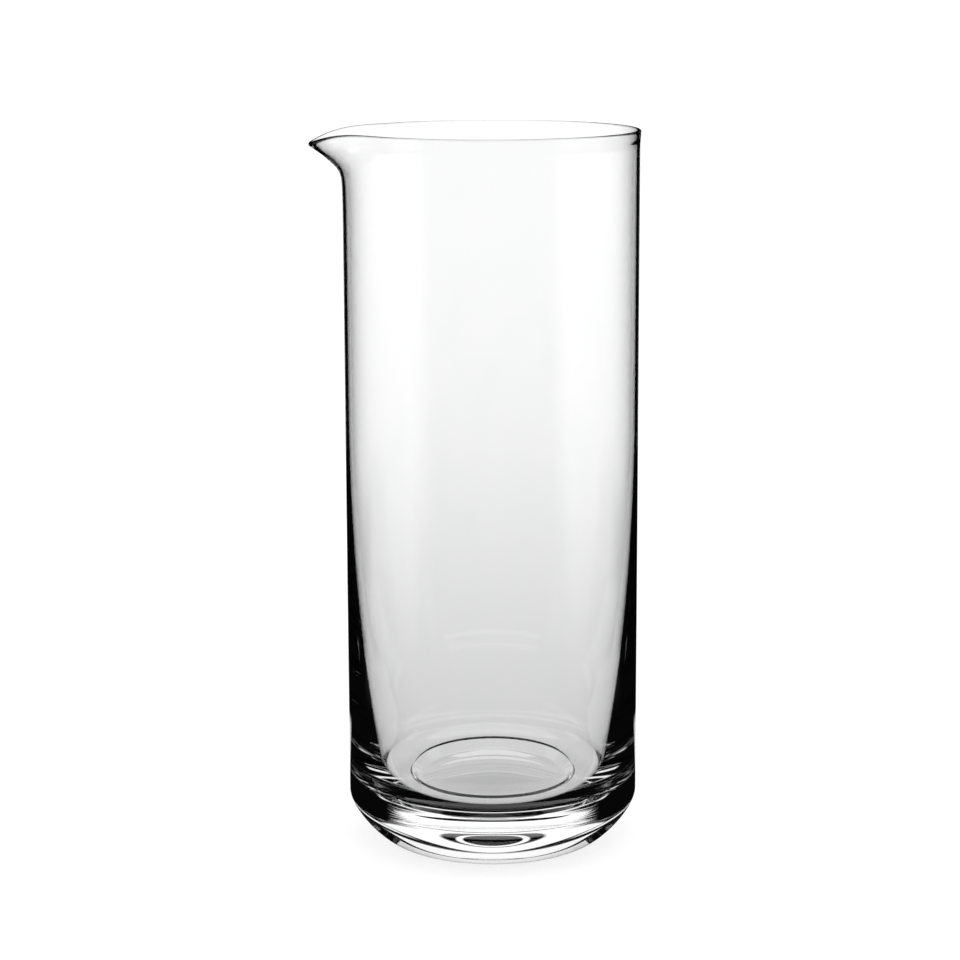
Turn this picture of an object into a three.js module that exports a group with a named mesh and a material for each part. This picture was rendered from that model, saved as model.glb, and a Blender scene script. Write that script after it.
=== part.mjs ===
// Cocktail mixing glass: a straight-sided beaker of clear glass with a heavy base and a pouring lip.
// Millimetres, +Z up. The foot stands on z = 0, the glass's axis is the Z axis and the lip points to -X.
import * as THREE from 'three';

// Body
const bodyDiameter = 75.7;
const height = 185.9;
const wallThickness = 0.9;

// Foot: a flat disc, and the soft slanting corner between it and the wall
const footDiameter = 52.9;
const footBend = 3.4;
const cornerRise = 12.8;
const cornerBend = 4;

// Rim: a fire-polished bead, a little thicker than the wall and standing proud of it
const beadThickness = 1.2;
const beadFlare = 0.2;
const beadBlend = 3;

// Heavy base: the inner wall leans in below taperTop, and is heelThickness thick at heelHeight
const taperTop = 111;
const taperBend = 48.6;
const heelHeight = 25.9;
const heelThickness = 6.1;
const heelBend = 8;

// Cavity floor: a flat ledge, a sharp ridge on its inner edge, and a slope down to a recess with a low dome
const ledgeDiameter = 48.3;
const ledgeThickness = 14.6;
const ledgeWidth = 1.25;
const ledgeBend = 4;
const ridgeWidth = 0.6;
const ridgeHeight = 1;
const slopeWidth = 2.1;
const recessDepth = 2.1;
const domeHeight = 1.4;
const domeBend = 9;

// Pouring lip: the wall bends out and down on the -X side
const lipReach = 8.6;
const lipDrop = 3.5;
const lipSlopeHeight = 8.6;
const lipBend = 2;
const lipDepth = 26;
const lipHalfAngle = THREE.MathUtils.degToRad(48);

// Facets
const segments = 60;
const cornerSteps = 8;
const lipSteps = 8;
const beadSteps = 6;
const taperSteps = 7;
const bowlSteps = 8;
const domeSteps = 4;

const outerRadius = bodyDiameter / 2;
const innerRadius = outerRadius - wallThickness;
const beadRadius = beadThickness / 2;
const lipFoot = height - lipDepth;
const neck = height - beadRadius - beadBlend;

// The points of a curve after its first one, which the curve before it already ends on.
function follow(curve, steps) {
  return curve.getPoints(steps).slice(1);
}

function line(from, to) {
  return new THREE.LineCurve(new THREE.Vector2(...from), new THREE.Vector2(...to));
}

function bend(from, control, to) {
  return new THREE.QuadraticBezierCurve(
    new THREE.Vector2(...from), new THREE.Vector2(...control), new THREE.Vector2(...to));
}

// Outside, from the axis at the foot up to the neck below the bead.
function outsideProfile() {
  const footEdge = new THREE.Vector2(footDiameter / 2, 0);
  const wallFoot = new THREE.Vector2(outerRadius, cornerRise);
  const corner = new THREE.CubicBezierCurve(
    footEdge,
    new THREE.Vector2(footEdge.x + footBend, 0),
    new THREE.Vector2(outerRadius, cornerRise - cornerBend),
    wallFoot);
  return [
    new THREE.Vector2(0, 0),
    footEdge,
    ...follow(corner, cornerSteps),
    ...follow(line(wallFoot.toArray(), [outerRadius, lipFoot]), 2),
    ...follow(line([outerRadius, lipFoot], [outerRadius, neck]), lipSteps),
  ];
}

// The bead's half circle, blended into the wall on both sides.
function rimProfile() {
  const beadHeight = height - beadRadius;
  const outermost = outerRadius + beadFlare;
  const innermost = outermost - beadThickness;
  const bead = new THREE.EllipseCurve(outermost - beadRadius, beadHeight, beadRadius, beadRadius, 0, Math.PI);
  const outerBlend = bend([outerRadius, neck], [outermost, beadHeight - beadRadius], [outermost, beadHeight]);
  const innerBlend = bend([innermost, beadHeight], [innermost, beadHeight - beadRadius], [innerRadius, neck]);
  return [...follow(outerBlend, 3), ...follow(bead, beadSteps), ...follow(innerBlend, 3)];
}

// Inside, from the neck down the wall and across the cavity's floor to the axis.
function insideProfile() {
  const heel = new THREE.Vector2(outerRadius - heelThickness, heelHeight);
  const taperControl = new THREE.Vector2(innerRadius, taperTop - taperBend);
  const lean = heel.clone().sub(taperControl).normalize();
  const ledge = new THREE.Vector2(ledgeDiameter / 2, ledgeThickness);
  const ridgeFoot = new THREE.Vector2(ledge.x - ledgeWidth, ledge.y);
  const ridge = new THREE.Vector2(ridgeFoot.x - ridgeWidth, ledge.y + ridgeHeight);
  const recess = new THREE.Vector2(ridge.x - slopeWidth, ledge.y - recessDepth);
  const domeTop = recess.y + domeHeight;
  const taper = new THREE.QuadraticBezierCurve(new THREE.Vector2(innerRadius, taperTop), taperControl, heel);
  const bowl = new THREE.CubicBezierCurve(
    heel,
    heel.clone().addScaledVector(lean, heelBend),
    new THREE.Vector2(ledge.x + ledgeBend, ledge.y),
    ledge);
  const dome = bend(recess.toArray(), [recess.x - domeBend, domeTop], [0, domeTop]);
  return [
    ...follow(line([innerRadius, neck], [innerRadius, lipFoot]), lipSteps),
    ...follow(line([innerRadius, lipFoot], [innerRadius, taperTop]), 1),
    ...follow(taper, taperSteps),
    ...follow(bowl, bowlSteps),
    ridgeFoot,
    ridge,
    recess,
    ...follow(dome, domeSteps),
  ];
}

// How far the lip stands out, from 0 at its foot to 1 at the rim, at a depth below the rim:
// a straight slope that a hyperbola blends into the upright wall.
function lipPush(depth) {
  const hyperbola = (fall) => lipSlopeHeight - fall + Math.hypot(lipSlopeHeight - fall, lipBend);
  const lowest = hyperbola(lipDepth);
  return Math.max(0, (hyperbola(depth) - lowest) / (hyperbola(0) - lowest));
}

// How far the lip sinks, from 0 at its foot to 1 at the rim, at a depth below the rim.
function lipSink(depth) {
  return Math.max(0, 1 - depth / lipDepth) ** 2;
}

// The lip's share round the rim, from 1 at its tip to 0 at its half angle.
function lipShare(angle) {
  return Math.abs(angle) < lipHalfAngle ? Math.cos(Math.PI / 2 * angle / lipHalfAngle) ** 3 : 0;
}

// The wall's outer face at a depth below the rim, as a radius and a height.
function lipFace(depth, share) {
  return new THREE.Vector2(
    outerRadius + lipReach * share * lipPush(depth),
    height - depth - lipDrop * share ** 2 * lipSink(depth));
}

// Bends the wall outward into the lip. A point keeps its distance from the wall's outer face.
function pullLip(geometry) {
  const position = geometry.getAttribute('position');
  const step = 0.01;
  for (let i = 0; i < position.count; i += 1) {
    const point = new THREE.Vector3().fromBufferAttribute(position, i);
    const depth = height - point.z;
    if (depth < lipDepth) {
      const angle = Math.atan2(point.y, -point.x);
      const share = lipShare(angle);
      const face = lipFace(depth, share);
      const along = face.clone().sub(lipFace(depth + step, share)).normalize();
      const inset = outerRadius - Math.hypot(point.x, point.y);
      const radius = face.x - inset * along.y;
      position.setXYZ(i, -radius * Math.cos(angle), radius * Math.sin(angle), face.y + inset * along.x);
    }
  }
  geometry.computeVertexNormals();
}

function glassBody() {
  const profile = [...outsideProfile(), ...rimProfile(), ...insideProfile()];
  const geometry = new THREE.LatheGeometry(profile, segments);
  geometry.rotateX(Math.PI / 2);
  pullLip(geometry);
  const clearGlass = new THREE.MeshStandardMaterial({
    color: 0xf3f6f5, roughness: 0.03, metalness: 0, transparent: true, opacity: 0.35,
  });
  const mesh = new THREE.Mesh(geometry, clearGlass);
  mesh.name = 'glass_body';
  return mesh;
}

const mixingGlass = new THREE.Group();
mixingGlass.add(glassBody());

export default mixingGlass;
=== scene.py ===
"""Cocktail mixing glass: clear glass with a heavy base and a pouring lip, on a white studio table."""

import math

import bpy
from mathutils import Matrix, Vector


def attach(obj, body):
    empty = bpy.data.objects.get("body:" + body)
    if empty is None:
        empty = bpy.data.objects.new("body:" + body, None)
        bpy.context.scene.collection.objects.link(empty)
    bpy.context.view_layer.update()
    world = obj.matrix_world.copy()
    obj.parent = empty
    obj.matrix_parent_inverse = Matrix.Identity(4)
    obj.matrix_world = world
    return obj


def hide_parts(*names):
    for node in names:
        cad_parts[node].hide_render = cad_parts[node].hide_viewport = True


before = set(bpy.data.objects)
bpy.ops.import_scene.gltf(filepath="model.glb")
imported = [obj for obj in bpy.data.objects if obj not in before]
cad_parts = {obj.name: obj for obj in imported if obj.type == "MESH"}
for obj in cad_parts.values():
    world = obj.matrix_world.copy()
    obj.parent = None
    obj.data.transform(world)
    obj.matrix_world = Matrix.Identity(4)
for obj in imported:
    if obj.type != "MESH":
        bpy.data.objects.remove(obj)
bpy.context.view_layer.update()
scene = bpy.context.scene
scene.view_settings.view_transform = "Standard"

# Light paths are long enough for the many reflections inside the heavy base
MOST_BOUNCES = 32
scene.cycles.max_bounces = MOST_BOUNCES
scene.cycles.transmission_bounces = MOST_BOUNCES
scene.cycles.glossy_bounces = MOST_BOUNCES

MM = 0.001

# Sizes in millimetres, those of the solid that this glass dresses
OUTER_R = 37.85
HEIGHT = 185.9
WALL = 0.9
FOOT_R = 26.45
FOOT_BEND = 3.4
CORNER_RISE = 12.8
CORNER_BEND = 4.0
BEAD = 1.2
BEAD_FLARE = 0.2
BEAD_BLEND = 3.0
TAPER_TOP = 111.0
TAPER_BEND = 48.6
HEEL_Z = 25.9
HEEL = 6.1
HEEL_BEND = 8.0
LEDGE_R = 24.15
LEDGE_Z = 14.6
LEDGE_BEND = 4.0
LEDGE_WIDTH = 1.25
RIDGE_WIDTH = 0.6
RIDGE_HEIGHT = 1.0
SLOPE_WIDTH = 2.1
RECESS_DEPTH = 2.1
DOME_HEIGHT = 1.4
DOME_BEND = 9.0
LIP_REACH = 8.6
LIP_DROP = 3.5
LIP_SLOPE_Z = 8.6
LIP_BEND = 2.0
LIP_DEPTH = 26.0
LIP_HALF_ANGLE = math.radians(48)

# Facets round the axis, and along each stretch of the section
SEGMENTS = 224
FOOT_STEPS = 8
CORNER_STEPS = 40
WALL_STEPS = 10
LIP_STEPS = 22
BLEND_STEPS = 6
BEAD_STEPS = 14
INSIDE_STEPS = 6
TAPER_STEPS = 30
BOWL_STEPS = 40
LEDGE_STEPS = 4
RIDGE_STEPS = 8
SLOPE_STEPS = 14
DOME_STEPS = 24


# Shape of the glass

def bezier(points, count):
    """Points of a Bezier curve, without its first one."""
    found = []
    for k in range(1, count + 1):
        level = [Vector(p) for p in points]
        while len(level) > 1:
            level = [a.lerp(b, k / count) for a, b in zip(level, level[1:])]
        found.append(tuple(level[0]))
    return found


def half_circle(centre, radius, count):
    """Points over a half circle from its outer end to its inner end, without the first one."""
    turns = [math.pi * k / count for k in range(1, count + 1)]
    return [(centre[0] + radius * math.cos(a), centre[1] + radius * math.sin(a)) for a in turns]


def glass_profile():
    """Half of the glass's section, from the axis at the foot round to the axis on the cavity's floor."""
    inner_r = OUTER_R - WALL
    lip_foot = HEIGHT - LIP_DEPTH
    bead_r = BEAD / 2
    bead_z = HEIGHT - bead_r
    neck_z = bead_z - BEAD_BLEND
    rim_out = OUTER_R + BEAD_FLARE
    rim_in = rim_out - BEAD
    heel = (OUTER_R - HEEL, HEEL_Z)
    taper_mid = (inner_r, TAPER_TOP - TAPER_BEND)
    lean = (Vector(heel) - Vector(taper_mid)).normalized()
    heel_mid = Vector(heel) + lean * HEEL_BEND
    ledge = (LEDGE_R, LEDGE_Z)
    ridge_foot = (LEDGE_R - LEDGE_WIDTH, LEDGE_Z)
    ridge = (ridge_foot[0] - RIDGE_WIDTH, LEDGE_Z + RIDGE_HEIGHT)
    recess = (ridge[0] - SLOPE_WIDTH, LEDGE_Z - RECESS_DEPTH)
    dome_z = recess[1] + DOME_HEIGHT
    foot_edge = (FOOT_R, 0)
    foot_mid = (FOOT_R + FOOT_BEND, 0)
    corner_mid = (OUTER_R, CORNER_RISE - CORNER_BEND)
    wall_foot = (OUTER_R, CORNER_RISE)
    points = [(0.0, 0.0)]
    points += bezier([(0, 0), foot_edge], FOOT_STEPS)
    points += bezier([foot_edge, foot_mid, corner_mid, wall_foot], CORNER_STEPS)
    points += bezier([wall_foot, (OUTER_R, lip_foot)], WALL_STEPS)
    points += bezier([(OUTER_R, lip_foot), (OUTER_R, neck_z)], LIP_STEPS)
    points += bezier([(OUTER_R, neck_z), (rim_out, bead_z - bead_r), (rim_out, bead_z)], BLEND_STEPS)
    points += half_circle((rim_out - bead_r, bead_z), bead_r, BEAD_STEPS)
    points += bezier([(rim_in, bead_z), (rim_in, bead_z - bead_r), (inner_r, neck_z)], BLEND_STEPS)
    points += bezier([(inner_r, neck_z), (inner_r, lip_foot)], LIP_STEPS)
    points += bezier([(inner_r, lip_foot), (inner_r, TAPER_TOP)], INSIDE_STEPS)
    points += bezier([(inner_r, TAPER_TOP), taper_mid, heel], TAPER_STEPS)
    points += bezier([heel, heel_mid, (LEDGE_R + LEDGE_BEND, LEDGE_Z), ledge], BOWL_STEPS)
    points += bezier([ledge, ridge_foot], LEDGE_STEPS)
    points += bezier([ridge_foot, ridge], RIDGE_STEPS)
    points += bezier([ridge, recess], SLOPE_STEPS)
    points += bezier([recess, (recess[0] - DOME_BEND, dome_z), (0, dome_z)], DOME_STEPS)
    return points


def lip_push(depth):
    """The lip's stand-out at a depth below the rim, from 1 at the rim to 0 at the lip's foot."""
    def hyperbola(fall):
        return LIP_SLOPE_Z - fall + math.hypot(LIP_SLOPE_Z - fall, LIP_BEND)
    lowest = hyperbola(LIP_DEPTH)
    return max(0.0, (hyperbola(depth) - lowest) / (hyperbola(0) - lowest))


def lip_face(depth, share):
    """The wall's outer face at a depth below the rim, as a radius and a height."""
    sink = max(0.0, 1 - depth / LIP_DEPTH) ** 2
    radius = OUTER_R + LIP_REACH * share * lip_push(depth)
    return Vector((radius, HEIGHT - depth - LIP_DROP * share ** 2 * sink))


def lip_point(radius, z, turn):
    """A point of the section at a turn round the axis, with the lip's wall bent outward on the -X side."""
    angle = math.remainder(turn - math.pi, 2 * math.pi)
    depth = HEIGHT - z
    if depth < LIP_DEPTH and abs(angle) < LIP_HALF_ANGLE:
        share = math.cos(math.pi / 2 * angle / LIP_HALF_ANGLE) ** 3
        face = lip_face(depth, share)
        step = 0.01
        along = (face - lip_face(depth + step, share)).normalized()
        inset = OUTER_R - radius
        radius = face.x - inset * along.y
        z = face.y + inset * along.x
    return (radius * math.cos(turn) * MM, radius * math.sin(turn) * MM, z * MM)


def glass_mesh():
    """The section turned round the axis, as one closed skin."""
    verts, faces, rings = [], [], []
    for radius, z in glass_profile():
        on_axis = radius < 1e-6
        turns = [0.0] if on_axis else [2 * math.pi * s / SEGMENTS for s in range(SEGMENTS)]
        rings.append([len(verts) + s for s in range(len(turns))])
        verts += [lip_point(radius, z, t) for t in turns]
    for low, high in zip(rings, rings[1:]):
        for s in range(SEGMENTS):
            n = (s + 1) % SEGMENTS
            if len(low) == 1:
                faces.append((low[0], high[n], high[s]))
            elif len(high) == 1:
                faces.append((low[s], low[n], high[0]))
            else:
                faces.append((low[s], low[n], high[n], high[s]))
    mesh = bpy.data.meshes.new("mixing_glass")
    mesh.from_pydata(verts, [], faces)
    mesh.polygons.foreach_set("use_smooth", [True] * len(mesh.polygons))
    mesh.update()
    return mesh


# Shader nodes

def add_node(tree, kind, values=(), **settings):
    """A node with settings, and its inputs set by index or name, or linked where the value is a socket."""
    node = tree.nodes.new(kind)
    for key, value in settings.items():
        setattr(node, key, value)
    for key, value in dict(values).items():
        if isinstance(value, bpy.types.NodeSocket):
            tree.links.new(value, node.inputs[key])
        else:
            node.inputs[key].default_value = value
    return node


def math_node(tree, operation, *values):
    return add_node(tree, "ShaderNodeMath", dict(enumerate(values)), operation=operation).outputs[0]


def blend_value(tree, share, off, on):
    return add_node(tree, "ShaderNodeMix", {0: share, 2: off, 3: on}, data_type="FLOAT").outputs[0]


def ramp(tree, value, low, high, at_low, at_high):
    values = {"Value": value, "From Min": low, "From Max": high, "To Min": at_low, "To Max": at_high}
    return add_node(tree, "ShaderNodeMapRange", values, interpolation_type="SMOOTHSTEP").outputs[0]


def stepped(tree, value, top, stops):
    """A grey level through stops of value and level, for values from 0 to top."""
    node = add_node(tree, "ShaderNodeValToRGB", {0: math_node(tree, "DIVIDE", value, top)})
    elements = node.color_ramp.elements
    while len(elements) < len(stops):
        elements.new(0.5)
    for element, (place, _) in zip(elements, stops):
        element.position = place / top
    for element, (_, level) in zip(elements, stops):
        element.color = (level, level, level, 1)
    return node.outputs[0]


def noise(tree, place, scale, detail):
    values = {"Vector": place, "Scale": scale, "Detail": detail}
    return add_node(tree, "ShaderNodeTexNoise", values).outputs[0]


def glass_material():
    """Clear soda glass with slow waves in its surface and faint wiping marks."""
    material = bpy.data.materials.new("clear_glass")
    material.use_nodes = True
    tree = material.node_tree
    shader = tree.nodes["Principled BSDF"]
    shader.inputs["Transmission Weight"].default_value = 1.0
    shader.inputs["IOR"].default_value = 1.52
    place = add_node(tree, "ShaderNodeTexCoord").outputs["Object"]
    stretched = add_node(tree, "ShaderNodeMapping", {"Vector": place, "Scale": (1, 1, 0.35)}).outputs[0]
    marks = noise(tree, stretched, scale=140.0, detail=4.0)
    tint = add_node(tree, "ShaderNodeValToRGB", {0: marks})
    tint.color_ramp.elements[0].position = 0.3
    tint.color_ramp.elements[0].color = (0.985, 0.992, 0.988, 1)
    tint.color_ramp.elements[1].position = 0.7
    tint.color_ramp.elements[1].color = (1, 1, 1, 1)
    tree.links.new(tint.outputs[0], shader.inputs["Base Color"])
    rough = ramp(tree, marks, low=0.62, high=0.8, at_low=0.0, at_high=0.03)
    tree.links.new(rough, shader.inputs["Roughness"])
    waves = noise(tree, stretched, scale=38.0, detail=1.0)
    bump = add_node(tree, "ShaderNodeBump", {"Strength": 0.004, "Distance": 0.0006, "Height": waves})
    tree.links.new(bump.outputs[0], shader.inputs["Normal"])
    return material


# Studio: a white room for light that the glass lets through, and dark flags for what it reflects

# Levels of the white room and of what is dark in it
ROOM = 1.155
DARK = 0.002

# The table as the camera sees it: its own white, and the cloth that takes the lamp's light and the shadow
TABLE_WHITE = 0.8
TABLE_CLOTH = 0.24

# Painted shade on the table seen through the glass: how much darker it is at the axis, and over how many
# metres that fades
PAINTED_TABLE_SHADE = 0.455
PAINTED_SHADE_FADE = 0.375

# Heights above the horizon in degrees: the dark line with its soft edges, and the white overhead's soft edge
DARK_LINE = (6.8, 7.3, 9.5, 10.5)
OVERHEAD = (44, 48)

# Degrees to either side of straight behind the glass, and the panels' heights above the horizon
FLAG_SIDES = (41, 66)
PANEL_SIDES = (58, 84)
PANEL_HEIGHTS = (15, 26)

# Ovals in the sky for the card of painted shade seen only through the glass: half width, height of the
# middle and half height in degrees
PAINTED_SHADE_CARD = (17, 22.5, 6.7)
PAINTED_SHADE_CARD_RING = (10.8, 20.6, 4.2)

# What reflections see bright on the table, outside a circle of painted shadow under the glass: distances
# from the axis in metres and their soft edges, degrees to either side of straight behind the glass and their
# soft edges, and the level. No direction reaches -9 or 200 degrees, so a zone with them has no edge there.
PAINTED_SHADOW_CIRCLE = 0.041
TABLE_ZONES = (
    ((PAINTED_SHADOW_CIRCLE, 0.122), (0.001, 0.008), (-9, 40), (2, 2), 0.95),
    ((PAINTED_SHADOW_CIRCLE, 4.0), (0.001, 1.5), (-9, 12), (1, 1), 1.0),
    ((PAINTED_SHADOW_CIRCLE, 0.050), (0.001, 0.001), (118, 200), (2, 2), 0.9),
    ((0.42, 4.0), (0.08, 1.5), (54, 122), (12, 12), 0.55),
    ((0.21, 4.0), (0.06, 1.5), (72, 122), (6, 6), 0.55),
)

# Reflections after which the table's zones and the side panels are dark
MOST_TURNS = 6


def turned_rays(tree, path):
    """1 for light paths that the glass has reflected, and 0 for those that it only lets through."""
    return math_node(tree, "GREATER_THAN", path.outputs["Glossy Depth"], 0.5)


def few_turns(tree, path):
    """1 for light paths that the glass has reflected only a few times."""
    return math_node(tree, "LESS_THAN", path.outputs["Glossy Depth"], MOST_TURNS + 0.5)


def bearing(tree, parts):
    """The turn of a place or direction from straight behind the glass, positive to +X."""
    return math_node(tree, "ARCTAN2", parts.outputs["X"], parts.outputs["Y"])


def off_axis(tree, turn):
    """Degrees to either side of straight behind the glass."""
    return math_node(tree, "ABSOLUTE", math_node(tree, "DEGREES", turn))


def within(tree, value, ends, softs):
    """1 where a value lies between two ends, with soft edges."""
    rise = ramp(tree, value, ends[0] - softs[0], ends[0] + softs[0], 0.0, 1.0)
    fall = ramp(tree, value, ends[1] - softs[1], ends[1] + softs[1], 1.0, 0.0)
    return math_node(tree, "MULTIPLY", rise, fall)


def lit_zones(tree, away, around):
    """The level that reflections see on the table: the brightest of its zones, and dark outside them, which
    is painted shadow in the circle under the glass.
    """
    level = DARK
    for distances, distance_softs, turns, turn_softs, bright in TABLE_ZONES:
        reach = within(tree, away, distances, distance_softs)
        zone = math_node(tree, "MULTIPLY", reach, within(tree, around, turns, turn_softs))
        level = math_node(tree, "MAXIMUM", level, math_node(tree, "MULTIPLY", zone, bright))
    return level


def floor_material():
    """White to the camera with a soft shadow, and through the glass pale grey near the foot, a painted
    shade.
    Reflections see bright zones between dark flags, a circle of painted shadow under the glass, and only
    dark after many reflections inside the glass."""
    material = bpy.data.materials.new("table_white")
    material.use_nodes = True
    tree = material.node_tree
    path = add_node(tree, "ShaderNodeLightPath")
    turned = turned_rays(tree, path)
    place = add_node(tree, "ShaderNodeNewGeometry").outputs["Position"]
    away = add_node(tree, "ShaderNodeVectorMath", {0: place}, operation="LENGTH").outputs["Value"]
    # Painted shade: through the glass the table is darker near the foot, fading with distance from the axis
    near = math_node(tree, "EXPONENT", math_node(tree, "MULTIPLY", away, -1 / PAINTED_SHADE_FADE))
    through = math_node(tree, "MULTIPLY_ADD", near, -PAINTED_TABLE_SHADE, ROOM)
    parts = add_node(tree, "ShaderNodeSeparateXYZ", {0: place})
    around = off_axis(tree, bearing(tree, parts))
    # Painted shadow: reflections see the table dark in a circle under the glass
    mirrored = math_node(tree, "MULTIPLY", lit_zones(tree, away, around), few_turns(tree, path))
    seen = add_node(tree, "ShaderNodeEmission", {"Color": blend_value(tree, turned, through, mirrored)})
    white = add_node(tree, "ShaderNodeEmission", {"Color": (1, 1, 1, 1), "Strength": TABLE_WHITE})
    grey = (TABLE_CLOTH, TABLE_CLOTH, TABLE_CLOTH, 1)
    cloth = add_node(tree, "ShaderNodeBsdfDiffuse", {"Color": grey})
    lit = add_node(tree, "ShaderNodeAddShader", {0: white.outputs[0], 1: cloth.outputs[0]})
    shown = add_node(tree, "ShaderNodeMixShader",
                     {0: path.outputs["Is Camera Ray"], 1: seen.outputs[0], 2: lit.outputs[0]})
    tree.links.new(shown.outputs[0], tree.nodes["Material Output"].inputs["Surface"])
    return material


def oval(tree, across, upward, sizes):
    """How far a direction is from the middle of an oval in the sky, 1 on its edge."""
    half_width, middle, half_height = sizes
    sideways = math_node(tree, "DIVIDE", across, math.radians(half_width))
    off = math_node(tree, "SUBTRACT", upward, math.radians(middle))
    height = math_node(tree, "DIVIDE", off, math.radians(half_height))
    flat = add_node(tree, "ShaderNodeCombineXYZ", {0: sideways, 1: height}).outputs[0]
    return add_node(tree, "ShaderNodeVectorMath", {0: flat}, operation="LENGTH").outputs["Value"]


def painted_shade_card(tree, across, upward):
    """Painted shade seen only through the glass: a dark card with a light ring on it, hung behind the glass:
    dark on the card, and 1 on the ring and off the card. The stops are distances from the ovals' middles, 1
    on their edges."""
    card_stops = [(0, DARK), (0.95, DARK), (1.05, 1)]
    ring_stops = [(0, DARK), (0.82, DARK), (0.88, 1), (1.02, 1), (1.08, DARK)]
    card = stepped(tree, oval(tree, across, upward, PAINTED_SHADE_CARD), 2, card_stops)
    ring = stepped(tree, oval(tree, across, upward, PAINTED_SHADE_CARD_RING), 2, ring_stops)
    return math_node(tree, "MAXIMUM", card, ring)


def make_world():
    """A white room to the camera and to the table. Through the glass it has a dark line above the horizon,
    a dark flag on either side and a dark card of painted shade. Reflections see white overhead and a white
    panel on either side, and dark between them."""
    world = bpy.data.worlds.new("studio")
    scene.world = world
    world.use_nodes = True
    tree = world.node_tree
    path = add_node(tree, "ShaderNodeLightPath")
    turned = turned_rays(tree, path)
    direction = add_node(tree, "ShaderNodeTexCoord").outputs["Generated"]
    parts = add_node(tree, "ShaderNodeSeparateXYZ", {0: direction})
    across = bearing(tree, parts)
    around = off_axis(tree, across)
    upward = math_node(tree, "ARCSINE", parts.outputs["Z"])
    degrees = math_node(tree, "DEGREES", upward)
    line_stops = [(0, ROOM), *zip(DARK_LINE, (ROOM, DARK, DARK, ROOM))]
    room = stepped(tree, degrees, 90, line_stops)
    # Painted shade: the dark card darkens the room only where the glass lets it through
    room = math_node(tree, "MULTIPLY", room, painted_shade_card(tree, across, upward))
    above = ramp(tree, degrees, DARK_LINE[0], DARK_LINE[1], 0.0, 1.0)
    flags = math_node(tree, "MULTIPLY", above, within(tree, around, FLAG_SIDES, softs=(2, 2)))
    room = math_node(tree, "MULTIPLY", room, math_node(tree, "SUBTRACT", 1.0, flags))
    direct = math_node(tree, "MAXIMUM", path.outputs["Is Camera Ray"], path.outputs["Is Diffuse Ray"])
    seen = blend_value(tree, direct, room, ROOM)
    overhead = ramp(tree, degrees, *OVERHEAD, DARK, ROOM)
    beside = within(tree, around, PANEL_SIDES, softs=(3, 3))
    panels = math_node(tree, "MULTIPLY", beside, within(tree, degrees, PANEL_HEIGHTS, softs=(2, 2)))
    panels = math_node(tree, "MULTIPLY", panels, few_turns(tree, path))
    mirrored = math_node(tree, "MAXIMUM", overhead, panels)
    tree.links.new(blend_value(tree, turned, seen, mirrored), tree.nodes["Background"].inputs["Color"])


def make_floor():
    """A wide flat table, a hair below the foot."""
    mesh = bpy.data.meshes.new("table")
    half = 9.0
    top = -0.0001
    corners = [(-half, -half, top), (half, -half, top), (half, half, top), (-half, half, top)]
    mesh.from_pydata(corners, [], [(0, 1, 2, 3)])
    mesh.materials.append(floor_material())
    table = bpy.data.objects.new("table", mesh)
    scene.collection.objects.link(table)


def make_lamp():
    """A weak overhead panel, for the table's soft shadow."""
    lamp = bpy.data.lights.new("overhead", "AREA")
    lamp.size = 1.4
    lamp.energy = 3.0
    holder = bpy.data.objects.new("overhead", lamp)
    holder.location = (0.25, -0.15, 1.6)
    aim = Vector((0, 0, 0.05))
    holder.rotation_euler = (aim - holder.location).to_track_quat("-Z", "Y").to_euler()
    holder.visible_glossy = False
    holder.visible_transmission = False
    scene.collection.objects.link(holder)


def make_camera():
    """The photograph's view: 675 mm from the axis, 231 mm above the table, a little over 11 degrees down."""
    place = (0, -0.675, 0.2307)
    focal_px, frame_px = 2649, 960
    pitch, yaw, roll = (math.radians(a) for a in (11.34, -0.263, -0.198))
    camera = bpy.data.cameras.new("camera")
    camera.sensor_width = 36
    camera.lens = camera.sensor_width * focal_px / frame_px
    holder = bpy.data.objects.new("camera", camera)
    ahead = Vector((math.sin(yaw) * math.cos(pitch), math.cos(yaw) * math.cos(pitch), -math.sin(pitch)))
    right = Vector((math.cos(yaw), -math.sin(yaw), 0))
    up = right.cross(ahead)
    rolled_right = right * math.cos(roll) + up * math.sin(roll)
    rolled_up = up * math.cos(roll) - right * math.sin(roll)
    placed = Matrix((rolled_right, rolled_up, -ahead)).transposed().to_4x4()
    placed.translation = place
    holder.matrix_world = placed
    scene.collection.objects.link(holder)
    scene.camera = holder


make_camera()
make_world()
make_floor()
make_lamp()

glass = bpy.data.objects.new("mixing_glass", glass_mesh())
glass.data.materials.append(glass_material())
scene.collection.objects.link(glass)
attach(glass, "root")
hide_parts("glass_body")
